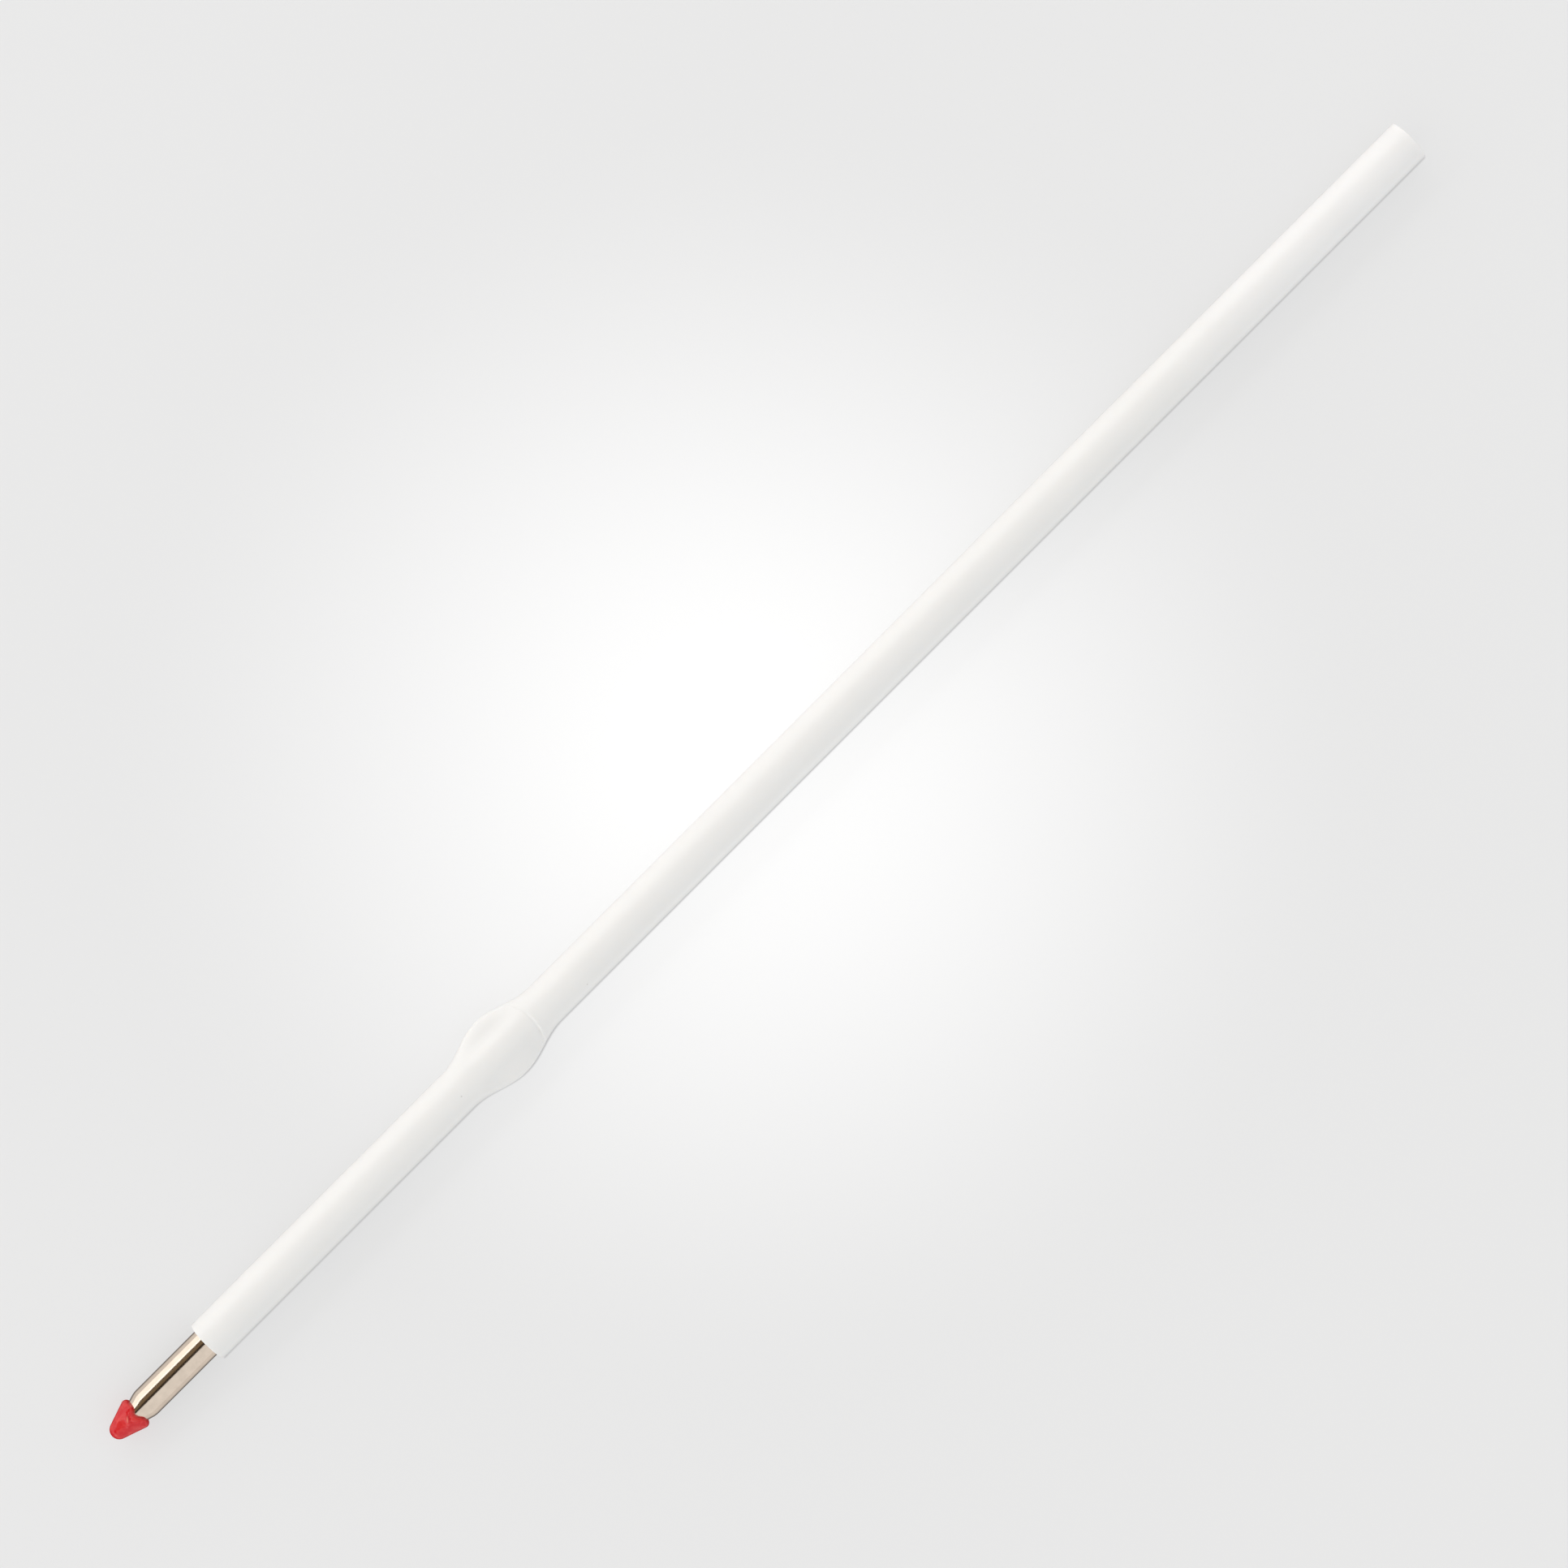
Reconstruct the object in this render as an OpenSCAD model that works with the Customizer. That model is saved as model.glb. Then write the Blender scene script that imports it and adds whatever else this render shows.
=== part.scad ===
// Ballpoint pen refill with a pair of ears for the pen's spring, and a cap over its point.
// It lies along +X with its point towards -X. The ears stand out along +Y and -Y.
// The origin is under the middle of its length, on the surface that the tube lies on.
// Distances along the refill are measured from the front of the ball, in millimetres.

/* [Overall] */
// Length from the front of the ball to the tail of the tube
refill_len = 106.8; // [100:0.1:115]

/* [Reservoir tube] */
// Outside diameter of the tube
tube_od = 2.7; // [2.6:0.05:3]
// Diameter of the tube's bore, which holds the ink
tube_bore = 1.56; // [1.4:0.02:1.56]
// Chamfer on the rims at both ends of the tube
tube_chamfer = 0.06; // [0.02:0.01:0.1]

/* [Ears] */
// Distance from the front of the ball to the middle of the ears
ear_middle = 31.6; // [28:0.1:40]
// Width across both ears
ear_span = 4.2; // [3.6:0.05:4.6]
// Length of the ears along the tube
ear_len = 7.2; // [5:0.1:9]
// Thickness of each ear near its rim
ear_thick = 0.9; // [0.7:0.05:1.1]
// How much the tube is pressed in between the ears, on the top and on the bottom
ear_dip = 0.1; // [0.02:0.01:0.2]

/* [Point] */
// Diameter of the writing ball
ball_d = 0.7; // [0.5:0.05:0.7]
// Diameter of the straight part of the metal point
point_d = 1.88; // [1.86:0.01:1.96]
// How far the point stands out of the tube, as far as the front of the ball
point_out = 7.45; // [6:0.05:9]
// Distance from the front of the ball to the back end of the cone
cone_len = 2.3; // [2.2:0.01:2.35]
// Angle between the cone's side and its axis
cone_angle = 16.5; // [15:0.5:17]
// Length of the shank that is pressed into the tube
shank_len = 4; // [3:0.1:6]

/* [Ink] */
// Distance from the front of the ball to the back of the ink
ink_end = 90; // [60:0.5:94]
// Length of the grease plug that follows the ink
follower_len = 3.5; // [2:0.1:5]

/* [Protective cap] */
// Length of the cap
cap_len = 2.15; // [2:0.01:2.3]
// How far the cap stands in front of the ball
cap_front = 0.4; // [0.35:0.01:0.45]
// Radius of the cap's round nose
cap_nose_r = 0.58; // [0.55:0.01:0.62]
// Angle between the cap's side and its axis
cap_angle = 19; // [17:0.5:20]
// Radius of the cap's rolled rim
cap_rim_r = 0.27; // [0.2:0.01:0.3]

/* [Hidden] */
$fn = 64;
eps = 0.01;                  // how far a cutting shape runs past what it cuts
tube_r = tube_od / 2;
bore_r = tube_bore / 2;
point_r = point_d / 2;
ball_r = ball_d / 2;
tube_len = refill_len - point_out;
mid_x = (refill_len - cap_front) / 2;   // the middle of the whole length, cap included

// Ears: the ear's skin starts this far inside the tube's own, so that the two meet cleanly
ear_inset = 0.005;
ear_overlap = 0.2;           // how far the ear's ends run into the round tube
ear_rings = 24;              // sections along the ears
ear_sides = 36;              // points round each section
ear_blend = 4;               // how sharply the ear leaves the tube: higher is sharper

// Point
point_round_r = 1.5;         // rounding between the cone and the straight part
lip_z = ball_r - 0.15;       // the lip's front edge
lip_r = ball_r - 0.005;      // the lip's outside radius at that edge
crimp_z = 0.46;              // the back end of the lip's rolled band
ball_gap = 0.01;             // running clearance between the ball and its socket
ink_hole_r = 0.2;            // the small hole behind the ball
feed_r = 0.5;                // the wide bore that leads to the small hole
feed_z = 1.9;                // the front end of the wide bore
groove_count = 5;            // ink grooves round the ball's seat
groove_w = 0.1;
groove_reach = 0.3;
groove_z = 0.55;
groove_len = 0.4;
shank_groove_depth = 0.05;   // the two grooves that grip the tube's bore
shank_groove_w = 0.4;
shank_groove_pitch = 1.2;
shank_chamfer = 0.15;

// Ink and follower
ink_gap = 0.01;              // modelling gap between the ink and the walls round it
meniscus_depth = 0.3;        // hollow in the follower's back face

// Cap
cap_gap = 0.02;              // clearance between the cap and the point
cap_steps = 12;              // straight pieces in each arc of the cap's outline

// Turns a piece that is built up along +Z from the front of the ball into its place along +X
module on_axis() {
    translate([-mid_x, 0, tube_r]) rotate([0, 90, 0]) children();
}

// Radius of the cone's surface at a distance from the front of the ball
function cone_r(z) = point_r - (cone_len - z) * tan(cone_angle);

// Points of an arc in the [radius, distance] plane. Angles run from the +radius direction.
function arc(centre, r, from, to, steps) =
    [for (i = [0:steps]) let (a = from + (to - from) * i / steps) centre + r * [cos(a), sin(a)]];

// The swell of the ears: 1 in their middle, falling smoothly to 0 at both ends
function swell(s) = abs(s) >= ear_len / 2 ? 0 : (1 + cos(360 * s / ear_len)) / 2;

// One point of the ears' section, at s along them and at an angle round it.
// The round core and the thin ear are blended by the sum of their powers.
function ear_point(s, angle) =
    let (
        k = swell(s),
        core = tube_r - ear_inset - ear_dip * k,
        half_width = tube_r - ear_inset + (ear_span / 2 - tube_r + ear_inset) * k,
        y = half_width * cos(angle),
        core_h = sqrt(max(0, core * core - y * y)),
        rim_h = ear_thick / 2 * sqrt(k * abs(sin(angle))),
        h = pow(pow(core_h, ear_blend) + pow(rim_h, ear_blend), 1 / ear_blend)
    ) [sign(sin(angle)) * h, y, ear_middle + s];

module ears() {
    half = ear_len / 2 + ear_overlap;
    points = [for (i = [0:ear_rings], j = [0:ear_sides - 1])
        ear_point(-half + 2 * half * i / ear_rings, 360 * j / ear_sides)];
    sides = [for (i = [0:ear_rings - 1], j = [0:ear_sides - 1])
        let (a = i * ear_sides + j, b = i * ear_sides + (j + 1) % ear_sides)
            each [[a, b, a + ear_sides], [b, b + ear_sides, a + ear_sides]]];
    first = [for (j = [ear_sides - 1:-1:0]) j];
    last = [for (j = [0:ear_sides - 1]) ear_rings * ear_sides + j];
    polyhedron(points, concat(sides, [first, last]), convexity = 4);
}

// A straight length of the tube's outside, chamfered at the end that is free
module tube_length(from, to, chamfer_from, chamfer_to) {
    rotate_extrude() polygon([
        [0, from], [tube_r - chamfer_from, from], [tube_r, from + chamfer_from],
        [tube_r, to - chamfer_to], [tube_r - chamfer_to, to], [0, to]
    ]);
}

module reservoir_tube() {
    ear_front = ear_middle - ear_len / 2;
    ear_back = ear_middle + ear_len / 2;
    color([0.97, 0.965, 0.95]) on_axis() difference() {
        union() {
            tube_length(point_out, ear_front, tube_chamfer, 0);
            ears();
            tube_length(ear_back, refill_len, 0, tube_chamfer);
        }
        translate([0, 0, point_out - eps]) cylinder(h = tube_len + 2 * eps, r = bore_r);
    }
}

// The ball's cavity and the ink grooves behind it
module ball_socket() {
    translate([0, 0, ball_r]) sphere(r = ball_r + ball_gap);
    for (i = [0:groove_count - 1]) rotate(360 * i / groove_count)
        translate([0, -groove_w / 2, groove_z]) cube([groove_reach, groove_w, groove_len]);
}

module shank_groove(z) {
    translate([0, 0, z]) difference() {
        cylinder(h = shank_groove_w, r = point_r);
        translate([0, 0, -eps])
            cylinder(h = shank_groove_w + 2 * eps, r = bore_r - shank_groove_depth);
    }
}

module point_housing() {
    shank_end = point_out + shank_len;
    tangent = point_round_r * tan(cone_angle / 2);
    shoulder = arc([point_r - point_round_r, cone_len + tangent], point_round_r, -cone_angle, 0, 6);
    color([0.8, 0.75, 0.68]) on_axis() difference() {
        rotate_extrude() polygon(concat(
            [[0, lip_z], [lip_r, lip_z], [cone_r(crimp_z), crimp_z]],
            shoulder,
            [[point_r, point_out], [bore_r, point_out], [bore_r, shank_end - shank_chamfer],
             [bore_r - shank_chamfer, shank_end], [0, shank_end]]
        ));
        ball_socket();
        translate([0, 0, ball_r]) cylinder(h = feed_z, r = ink_hole_r);
        translate([0, 0, feed_z]) cylinder(h = shank_end, r = feed_r);
        for (i = [1:2]) shank_groove(point_out + shank_groove_pitch * i);
    }
}

module writing_ball() {
    color([0.55, 0.56, 0.58]) on_axis() translate([0, 0, ball_r]) sphere(r = ball_r);
}

module ink_column() {
    shank_end = point_out + shank_len;
    nose_z = groove_z + groove_len;
    color([0.75, 0.05, 0.08]) on_axis() rotate_extrude() polygon([
        [0, nose_z], [ink_hole_r - ink_gap, nose_z], [ink_hole_r - ink_gap, feed_z + ink_gap],
        [feed_r - ink_gap, feed_z + ink_gap], [feed_r - ink_gap, shank_end + ink_gap],
        [bore_r - ink_gap, shank_end + ink_gap], [bore_r - ink_gap, ink_end], [0, ink_end]
    ]);
}

module grease_follower() {
    r = bore_r - ink_gap;
    ball = (r * r + meniscus_depth * meniscus_depth) / (2 * meniscus_depth);
    back = ink_end + ink_gap + follower_len;
    color([0.9, 0.88, 0.8]) on_axis() difference() {
        translate([0, 0, ink_end + ink_gap]) cylinder(h = follower_len, r = r);
        translate([0, 0, back + ball - meniscus_depth]) sphere(r = ball);
    }
}

module protective_cap() {
    rim_z = cap_len - cap_front - cap_rim_r;
    nose_z = cap_nose_r - cap_front;
    side_r = cap_nose_r / cos(cap_angle) + (rim_z - nose_z) * tan(cap_angle);
    rim_r = side_r - cap_rim_r / cos(cap_angle);
    nose = arc([0, nose_z], cap_nose_r, -90, -cap_angle, cap_steps);
    rim = arc([rim_r, rim_z], cap_rim_r, -cap_angle, 90, cap_steps);
    inside_z = ball_r - 0.2;
    color([0.8, 0.16, 0.17]) on_axis() difference() {
        rotate_extrude() polygon(concat(nose, rim, [[0, rim_z + cap_rim_r]]));
        translate([0, 0, ball_r]) sphere(r = ball_r + cap_gap);
        translate([0, 0, inside_z]) cylinder(
            h = cap_len - inside_z, r1 = cone_r(inside_z) + cap_gap, r2 = cone_r(cap_len) + cap_gap);
    }
}

reservoir_tube();
point_housing();
writing_ball();
ink_column();
grease_follower();
protective_cap();
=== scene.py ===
"""A ballpoint pen refill with spring ears, built round its frame and laid on a light table."""

import math

import bpy
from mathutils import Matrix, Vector


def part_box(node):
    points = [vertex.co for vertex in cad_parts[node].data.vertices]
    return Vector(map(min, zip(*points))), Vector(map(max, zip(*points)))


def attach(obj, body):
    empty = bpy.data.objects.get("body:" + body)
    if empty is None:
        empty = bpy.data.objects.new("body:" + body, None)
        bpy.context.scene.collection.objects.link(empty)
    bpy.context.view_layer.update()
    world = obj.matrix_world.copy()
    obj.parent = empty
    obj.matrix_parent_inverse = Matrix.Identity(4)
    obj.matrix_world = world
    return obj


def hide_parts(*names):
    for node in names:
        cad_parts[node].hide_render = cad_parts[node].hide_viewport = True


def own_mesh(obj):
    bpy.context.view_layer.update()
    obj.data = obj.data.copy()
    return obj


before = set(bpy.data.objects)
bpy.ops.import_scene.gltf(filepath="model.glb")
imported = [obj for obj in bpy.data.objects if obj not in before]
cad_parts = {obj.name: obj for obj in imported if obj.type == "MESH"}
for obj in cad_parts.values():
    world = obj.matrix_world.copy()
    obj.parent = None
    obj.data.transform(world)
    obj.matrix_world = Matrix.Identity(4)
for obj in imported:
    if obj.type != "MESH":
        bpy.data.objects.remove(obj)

bl_info = {
    "name": "Ballpoint Pen Refill",
    "version": (1, 0, 0),
    "blender": (4, 5, 0),
    "location": "View3D > Sidebar > Refill",
    "description": "Models a ballpoint pen refill with its spring ears, point, ink and cap",
    "category": "Add Mesh",
}

MM = 0.001
TUBE_LOW, TUBE_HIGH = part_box("reservoir_tube")
POINT_LOW, POINT_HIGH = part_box("point_housing")
BALL_LOW, BALL_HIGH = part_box("writing_ball")
INK_LOW, INK_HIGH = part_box("ink_column")
GREASE_LOW, GREASE_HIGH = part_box("grease_follower")
CAP_LOW, CAP_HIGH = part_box("protective_cap")
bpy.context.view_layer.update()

AXIS_Z = (BALL_LOW.z + BALL_HIGH.z) / 2
FRONT = BALL_LOW.x  # distances along the refill are counted from the front of the ball
TUBE_R = (TUBE_HIGH.z - TUBE_LOW.z) / 2
POINT_R = (POINT_HIGH.z - POINT_LOW.z) / 2
BALL_R = (BALL_HIGH.z - BALL_LOW.z) / 2
INK_R = (INK_HIGH.z - INK_LOW.z) / 2
GREASE_R = (GREASE_HIGH.z - GREASE_LOW.z) / 2


def linear(code):
    """The linear colour of an sRGB hex code such as "#F2F0EB"."""
    values = [int(code[i : i + 2], 16) / 255 for i in (1, 3, 5)]
    return tuple(v / 12.92 if v <= 0.04045 else ((v + 0.055) / 1.055) ** 2.4 for v in values)


# ---------------------------------------------------------------- sizes and colours


def length_prop(name, description, default):
    """A property for a length in metres."""
    return bpy.props.FloatProperty(
        name=name, description=description, default=default, unit="LENGTH"
    )


def angle_prop(name, description, degrees):
    """A property for an angle, with its default in degrees."""
    return bpy.props.FloatProperty(
        name=name, description=description, default=math.radians(degrees), subtype="ANGLE"
    )


def colour_prop(name, description, code):
    """A property for a colour, with its default as an sRGB hex code."""
    return bpy.props.FloatVectorProperty(
        name=name, description=description, default=linear(code), subtype="COLOR"
    )


class RefillSizes(bpy.types.PropertyGroup):
    """Sizes of the refill that its frame doesn't already set."""

    bore_radius: length_prop("Bore Radius", "Radius of the tube's bore", 0.78 * MM)
    edge_round: length_prop(
        "Edge Rounding", "Rounding on the cut edges at both ends of the tube", 0.05 * MM
    )
    ear_middle: length_prop(
        "Ear Position", "Distance from the front of the ball to the middle of the ears", 31.75 * MM
    )
    ear_length: length_prop("Ear Length", "Length of the ears along the tube", 7.2 * MM)
    left_reach: length_prop(
        "Left Ear Reach", "How far the ear on the +Y side stands out of the tube", 0.79 * MM
    )
    right_reach: length_prop(
        "Right Ear Reach", "How far the ear on the -Y side stands out of the tube", 0.70 * MM
    )
    left_rim: length_prop(
        "Left Rim Thickness", "Thickness of the rim of the ear on the +Y side", 0.86 * MM
    )
    right_rim: length_prop(
        "Right Rim Thickness", "Thickness of the rim of the ear on the -Y side", 0.50 * MM
    )
    ear_dip: length_prop(
        "Ear Dip", "How much the round core is pressed in between the ears", 0.06 * MM
    )
    punch_radius: length_prop(
        "Punch Radius", "Radius of the round punch that pressed the ears out", 2.62 * MM
    )
    punch_depth: length_prop(
        "Punch Depth",
        "Depth of the step that the punch leaves on the side towards the tail",
        0.125 * MM,
    )
    cone_length: length_prop(
        "Cone Length",
        "Distance from the front of the ball to the back end of the point's cone",
        2.3 * MM,
    )
    cone_angle: angle_prop("Cone Angle", "Angle between the cone's side and its axis", 16.5)
    cap_nose: length_prop("Cap Nose Radius", "Radius of the cap's round nose", 0.58 * MM)
    cap_angle: angle_prop("Cap Angle", "Angle between the cap's side and its axis", 19)
    cap_rim: length_prop("Cap Rim Radius", "Radius of the cap's rolled rim", 0.27 * MM)


class RefillColours(bpy.types.PropertyGroup):
    """Colours of the refill's materials and of the stage."""

    tube: colour_prop("Tube", "Colour of the tube where the ink is behind its wall", "#ECEBE9")
    tube_empty: colour_prop(
        "Empty Tube", "Colour of the tube where there is only air behind its wall", "#EFEEED"
    )
    dust: colour_prop("Dust", "Colour of the specks of dust on the tube", "#8C7F6E")
    metal: colour_prop("Nickel Silver", "Colour of the metal point", "#E0CFBE")
    carbide: colour_prop("Carbide", "Colour of the writing ball", "#9A9CA0")
    ink: colour_prop("Ink", "Colour of the ink", "#9C0F1B")
    grease: colour_prop("Grease", "Colour of the grease behind the ink", "#D8C79A")
    wax: colour_prop("Wax", "Colour of the protective cap", "#CB141D")
    wax_thin: colour_prop(
        "Thin Wax", "Colour of the protective cap where its wax is thin or scuffed", "#DB3E3A"
    )
    # This colour is a painted highlight along the crest of the cap's fold.
    crest_highlight: colour_prop(
        "Stretched Wax", "Colour of the protective cap along the crest of its fold", "#F0816F"
    )
    floor: colour_prop("Light Table", "Colour of the light table's surface", "#8B8B8B")
    glow_middle: colour_prop(
        "Glow Middle", "Light that comes through the light table over its lamp", "#E3E3E3"
    )
    glow_edge: colour_prop(
        "Glow Edge", "Light that comes through the light table away from its lamp", "#C4C4C4"
    )


# ---------------------------------------------------------------- modelling helpers


def deselect():
    """Leaves every object deselected, so that an operator acts only on the piece in hand."""
    if bpy.context.object and bpy.context.object.mode != "OBJECT":
        bpy.ops.object.mode_set(mode="OBJECT")
    bpy.ops.object.select_all(action="DESELECT")


def select_points(piece, test):
    """Selects the vertices of a piece whose place passes a test, and leaves it in edit mode."""
    bpy.ops.object.mode_set(mode="EDIT")
    bpy.ops.mesh.select_mode(type="VERT")
    bpy.ops.mesh.select_all(action="DESELECT")
    bpy.ops.object.mode_set(mode="OBJECT")
    for vertex in piece.data.vertices:
        vertex.select = test(vertex.co)
    bpy.ops.object.mode_set(mode="EDIT")


def from_axis(place):
    """Distance of a place from the refill's axis."""
    return math.hypot(place.y, place.z - AXIS_Z)


def arc(centre, radius, start, end, steps):
    """Points (x, radius) of an arc. Angles are in degrees, from straight out towards the tail."""
    angles = [math.radians(start + (end - start) * i / steps) for i in range(steps + 1)]
    return [
        (centre[0] + radius * math.sin(a), centre[1] + radius * math.cos(a)) for a in angles
    ]


def turn(name, outline, sides):
    """Turns an outline of (x, radius) points round the axis, one extruded ring for each point."""
    deselect()
    start_x, start_r = outline[0]
    bpy.ops.mesh.primitive_circle_add(
        vertices=sides,
        radius=start_r,
        location=(start_x, 0, AXIS_Z),
        rotation=(0, math.pi / 2, 0),
    )
    piece = bpy.context.object
    piece.name = name
    bpy.ops.object.transform_apply(location=True, rotation=True, scale=True)
    bpy.ops.object.mode_set(mode="EDIT")
    bpy.ops.mesh.select_all(action="SELECT")
    for (x0, r0), (x1, r1) in zip(outline, outline[1:]):
        bpy.ops.mesh.extrude_region_move(TRANSFORM_OT_translate={"value": (x1 - x0, 0, 0)})
        bpy.ops.transform.resize(value=(1, r1 / r0, r1 / r0), center_override=(x1, 0, AXIS_Z))
    bpy.ops.object.mode_set(mode="OBJECT")
    return piece


def close_poles(piece, *places):
    """Merges the small ring at each place on the axis to one point."""
    for x in places:
        select_points(piece, lambda co: abs(co.x - x) < WELD and from_axis(co) < 2 * POLE_R)
        bpy.ops.mesh.merge(type="CENTER")
    bpy.ops.object.mode_set(mode="OBJECT")


def tidy_mesh(piece, angle):
    """Welds seams, turns the faces outwards and shades smooth up to an angle in degrees."""
    bpy.ops.object.mode_set(mode="EDIT")
    bpy.ops.mesh.select_all(action="SELECT")
    bpy.ops.mesh.remove_doubles(threshold=WELD)
    bpy.ops.mesh.normals_make_consistent(inside=False)
    bpy.ops.object.mode_set(mode="OBJECT")
    bpy.ops.object.shade_smooth_by_angle(angle=math.radians(angle))


def place_in_frame(piece, material, body, slot, *nodes):
    """Gives a piece its material, attaches it to the body it moves with, and hides the parts of
    the model that it replaces.
    """
    piece.data.materials.clear()
    piece.data.materials.append(material)
    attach(piece, body)
    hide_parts(*nodes)


POLE_R = 0.004 * MM  # radius of the small ring that is left at a pole until it is merged
WELD = 0.0002 * MM  # vertices closer than this are one vertex


# ---------------------------------------------------------------- material helpers


def new_material(name, values):
    """A material with one Principled shader, and values for the shader's sockets.

    Returns the material, its nodes' tree, its shader and the places on the piece."""
    material = bpy.data.materials.new(name)
    material.use_nodes = True
    tree = material.node_tree
    shader = tree.nodes["Principled BSDF"]
    for key, value in values.items():
        shader.inputs[key].default_value = value
    place = add_node(tree, "ShaderNodeTexCoord").outputs["Object"]
    return material, tree, shader, place


def add_node(tree, kind, settings=None, values=None, links=None):
    """Adds a node, sets its properties and its sockets' values, and links other sockets to it."""
    node = tree.nodes.new(kind)
    for key, value in (settings or {}).items():
        setattr(node, key, value)
    for key, value in (values or {}).items():
        node.inputs[key].default_value = value
    for key, socket in (links or {}).items():
        tree.links.new(socket, node.inputs[key])
    return node


def set_ramp(node, stops):
    """Gives a colour ramp its stops, each a position and a colour."""
    elements = node.color_ramp.elements
    while len(elements) > 1:
        elements.remove(elements[-1])
    for index, (position, colour) in enumerate(stops):
        element = elements[0] if index == 0 else elements.new(position)
        element.position = position
        element.color = (*colour, 1)


def finish_surface(tree, shader, pattern, smoothest, roughest, height, strength, depth):
    """Spreads a pattern between two roughnesses, and raises the skin by a height.

    The strength and the depth in metres say how much of the height shows."""
    gloss = add_node(
        tree,
        "ShaderNodeMapRange",
        values={"To Min": smoothest, "To Max": roughest},
        links={"Value": pattern},
    )
    tree.links.new(gloss.outputs["Result"], shader.inputs["Roughness"])
    bump = add_node(
        tree,
        "ShaderNodeBump",
        values={"Strength": strength, "Distance": depth},
        links={"Height": height},
    )
    tree.links.new(bump.outputs["Normal"], shader.inputs["Normal"])


def extruded_polypropylene(colours):
    """White tube plastic, drawn through a die: a satin skin with fine lines along it."""
    material, tree, shader, place = new_material(
        "extruded_polypropylene",
        {
            "IOR": 1.49,
            "Subsurface Weight": 0.25,
            "Subsurface Radius": (1.0, 0.9, 0.8),
            "Subsurface Scale": 0.3 * MM,
        },
    )
    split = add_node(tree, "ShaderNodeSeparateXYZ", links={"Vector": place})
    # The ink behind the wall dulls the white a little, and the empty tail is brighter.
    fill = add_node(
        tree,
        "ShaderNodeMapRange",
        settings={"interpolation_type": "SMOOTHSTEP"},
        values={"From Min": INK_HIGH.x - 6 * MM, "From Max": INK_HIGH.x + 8 * MM},
        links={"Value": split.outputs["X"]},
    )
    body = add_node(
        tree,
        "ShaderNodeMix",
        settings={"data_type": "RGBA"},
        values={6: (*colours.tube, 1), 7: (*colours.tube_empty, 1)},
        links={"Factor": fill.outputs["Result"]},
    )
    # Faint clouds in the pigment, about 3 mm across.
    clouds = add_node(
        tree,
        "ShaderNodeTexNoise",
        values={"Scale": 1 / (3 * MM)},
        links={"Vector": place},
    )
    cloud_range = add_node(
        tree,
        "ShaderNodeMapRange",
        values={"To Min": 0.97, "To Max": 1.0},
        links={"Value": clouds.outputs["Fac"]},
    )
    tinted = add_node(
        tree,
        "ShaderNodeVectorMath",
        settings={"operation": "SCALE"},
        links={0: body.outputs[2], "Scale": cloud_range.outputs["Result"]},
    )
    # Specks of dust about 0.1 mm across, one in every centimetre or so, and a larger one in
    # front of the ears.
    cells = add_node(
        tree,
        "ShaderNodeTexVoronoi",
        values={"Scale": 1 / (4 * MM)},
        links={"Vector": place},
    )
    small = add_node(
        tree,
        "ShaderNodeMapRange",
        values={"From Min": 0.014, "From Max": 0.008, "To Max": 0.35},
        links={"Value": cells.outputs["Distance"]},
    )
    off_speck = add_node(
        tree,
        "ShaderNodeVectorMath",
        settings={"operation": "DISTANCE"},
        values={1: (FRONT + 28.2 * MM, -0.38 * MM, AXIS_Z + 1.3 * MM)},
        links={0: place},
    )
    large = add_node(
        tree,
        "ShaderNodeMapRange",
        values={"From Min": 0.07 * MM, "From Max": 0.02 * MM, "To Max": 0.30},
        links={"Value": off_speck.outputs["Value"]},
    )
    specks = add_node(
        tree,
        "ShaderNodeMath",
        settings={"operation": "MAXIMUM"},
        links={0: small.outputs["Result"], 1: large.outputs["Result"]},
    )
    speckled = add_node(
        tree,
        "ShaderNodeMix",
        settings={"data_type": "RGBA"},
        values={7: (*colours.dust, 1)},
        links={"Factor": specks.outputs["Value"], 6: tinted.outputs["Vector"]},
    )
    tree.links.new(speckled.outputs[2], shader.inputs["Base Color"])
    # Die lines run along the tube. Real ones are a few hundredths of a millimetre apart, and
    # these are 0.15 mm apart so that they show.
    lines = add_node(
        tree,
        "ShaderNodeMapping",
        values={"Scale": (1 / (12 * MM), 1 / (0.15 * MM), 1 / (0.15 * MM))},
        links={"Vector": place},
    )
    streaks = add_node(
        tree,
        "ShaderNodeTexNoise",
        values={"Scale": 1.0, "Detail": 3.0},
        links={"Vector": lines.outputs["Vector"]},
    )
    grain = add_node(
        tree,
        "ShaderNodeTexNoise",
        values={"Scale": 1 / (0.08 * MM), "Detail": 2.0},
        links={"Vector": place},
    )
    height = add_node(
        tree,
        "ShaderNodeMath",
        settings={"operation": "MULTIPLY_ADD"},
        values={1: 0.5},
        links={0: grain.outputs["Fac"], 2: streaks.outputs["Fac"]},
    )
    skin, lift = streaks.outputs["Fac"], height.outputs["Value"]
    finish_surface(tree, shader, skin, 0.30, 0.42, lift, 0.35, 0.004 * MM)
    return material


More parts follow.
